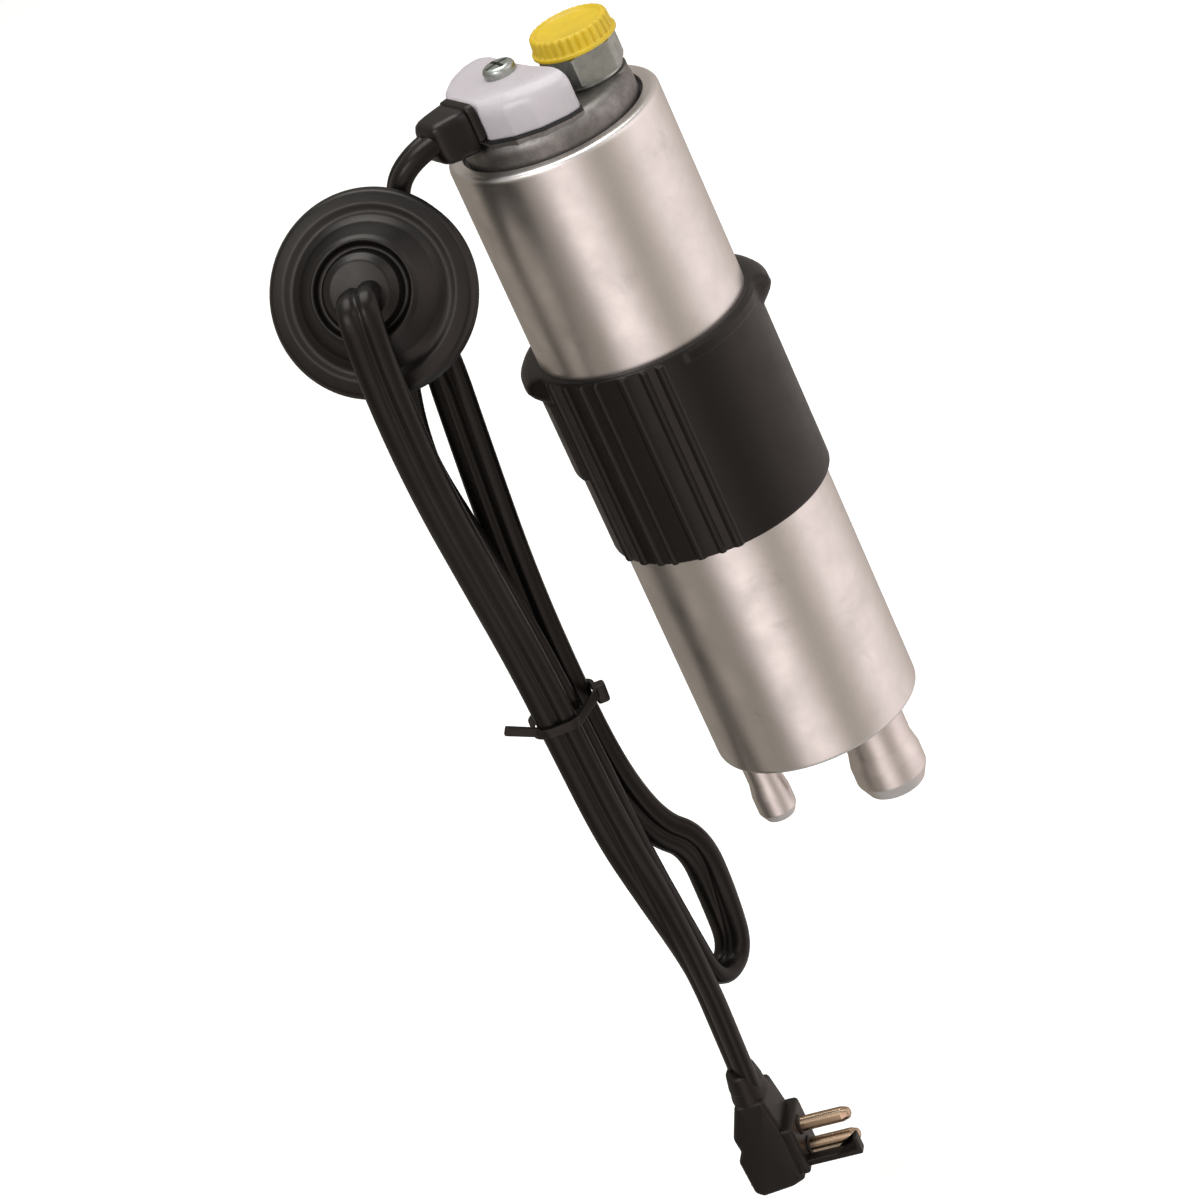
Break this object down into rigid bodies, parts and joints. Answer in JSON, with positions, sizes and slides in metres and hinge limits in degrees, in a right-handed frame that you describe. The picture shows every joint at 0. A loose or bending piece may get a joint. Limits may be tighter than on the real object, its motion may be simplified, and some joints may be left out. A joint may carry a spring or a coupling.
{
  "type": "fuel pump",
  "caption": "Upright inline electric fuel pump in an aluminium can, with hose spigots, threaded outlet, rubber clamping sleeve, terminal cover and a tied cable with grommet and plug.",
  "frame": {"origin": "on the pump's axis at the middle of the rubber clamping sleeve", "axes": "+Z along the pump's axis towards the threaded outlet end, +X towards the outlet port's side, -Y towards the side where the cable hangs nearest"},
  "size_m": [0.1083, 0.08, 0.2969],
  "materials": {
    "can_aluminium": "drawn, lightly brushed along its length",
    "spigot_aluminium": "bright turned",
    "diecast_aluminium": "matt die cast",
    "zinc_steel": "zinc plated",
    "sintered_steel": "ground sintered",
    "tool_steel": "ground",
    "lamination_steel": "stamped laminations",
    "spring_steel": "drawn wire",
    "bronze": "sintered, oiled",
    "copper": "enamelled wire",
    "brass": "turned",
    "ferrite": "ground ferrite",
    "carbon": "pressed carbon",
    "black_plastic": "moulded glass-filled polyamide",
    "natural_plastic": "moulded polyamide",
    "white_plastic": "moulded, satin",
    "yellow_plastic": "soft moulded polyethylene",
    "black_rubber": "moulded, satin",
    "cable_sheath": "extruded, satin"
  },
  "bodies": {
    "housing": {"housing_can": "can_aluminium", "inlet_spigot": "spigot_aluminium", "return_spigot": "spigot_aluminium", "inlet_strainer": "natural_plastic", "pump_inlet_plate": "diecast_aluminium", "pump_ring": "diecast_aluminium", "pump_outlet_plate": "diecast_aluminium", "pump_screws": "zinc_steel", "relief_valve_spring": "spring_steel", "relief_valve_plug": "brass", "lower_bearing": "bronze", "upper_bearing": "bronze", "flux_ring": "zinc_steel", "magnet_right": "ferrite", "magnet_left": "ferrite", "magnet_clip_back": "spring_steel", "magnet_clip_front": "spring_steel", "brush_carrier": "black_plastic", "brush_spring_positive": "spring_steel", "brush_spring_negative": "spring_steel", "end_cap": "diecast_aluminium", "end_cap_seal": "black_rubber", "outlet_washer": "spigot_aluminium", "outlet_fitting": "zinc_steel", "check_valve_spring": "spring_steel", "check_valve_retainer": "brass", "terminal_insulator_positive": "black_plastic", "terminal_insulator_negative": "black_plastic", "terminal_post_positive": "brass", "terminal_post_negative": "brass", "cable_lug_positive": "brass", "cable_lug_negative": "brass", "core_wire_positive": "copper", "core_wire_negative": "copper", "brush_lead_positive": "copper", "brush_lead_negative": "copper", "terminal_nuts": "zinc_steel", "cover_gasket": "black_rubber", "terminal_cover": "white_plastic", "cover_screw": "zinc_steel", "cable": "cable_sheath", "cable_boot": "black_rubber", "grommet": "black_rubber", "cable_tie": "black_plastic", "plug_body": "black_plastic", "plug_pin_upper": "brass", "plug_pin_lower": "brass", "rubber_sleeve": "black_rubber"},
    "armature": {"armature_shaft": "tool_steel", "drive_pin": "tool_steel", "inner_rotor": "sintered_steel", "armature_core": "lamination_steel", "armature_windings": "copper", "commutator": "copper"},
    "ring_rotor": {"outer_rotor": "sintered_steel"},
    "relief_ball": {"relief_valve_ball": "tool_steel"},
    "check_poppet": {"check_valve_poppet": "brass"},
    "brush_plus": {"brush_positive": "carbon"},
    "brush_minus": {"brush_negative": "carbon"},
    "port_cap": {"transport_cap": "yellow_plastic"}
  },
  "joints": [
    {"name": "armature_spin", "type": "hinge", "parent": "housing", "child": "armature", "pos_m": [0, 0, 0], "axis": [0, 0, 1], "continuous": true},
    {"name": "ring_rotor_spin", "type": "hinge", "parent": "housing", "child": "ring_rotor", "pos_m": [-0.0013, 0, -0.0645], "axis": [0, 0, 1], "continuous": true},
    {"name": "relief_lift", "type": "slide", "parent": "housing", "child": "relief_ball", "axis": [0, 0, -1], "range_m": [0, 0.002], "stiffness_N_per_m": 1500, "springref_m": -0.0025, "deforming": ["relief_valve_spring"]},
    {"name": "check_lift", "type": "slide", "parent": "housing", "child": "check_poppet", "axis": [0, 0, 1], "range_m": [0, 0.0025], "stiffness_N_per_m": 150, "springref_m": -0.004, "deforming": ["check_valve_spring"]},
    {"name": "brush_plus_slide", "type": "slide", "parent": "housing", "child": "brush_plus", "axis": [0, -1, 0], "range_m": [0, 0.002], "stiffness_N_per_m": 120, "springref_m": -0.008, "deforming": ["brush_spring_positive"]},
    {"name": "brush_minus_slide", "type": "slide", "parent": "housing", "child": "brush_minus", "axis": [0, 1, 0], "range_m": [0, 0.002], "stiffness_N_per_m": 120, "springref_m": -0.008, "deforming": ["brush_spring_negative"]},
    {"name": "port_cap_pull", "type": "slide", "parent": "housing", "child": "port_cap", "axis": [0, 0, 1], "range_m": [0, 0.014]}
  ],
  "couplings": [
    {"joint": "ring_rotor_spin", "follows": "armature_spin", "ratio": 0.85714}
  ]
}
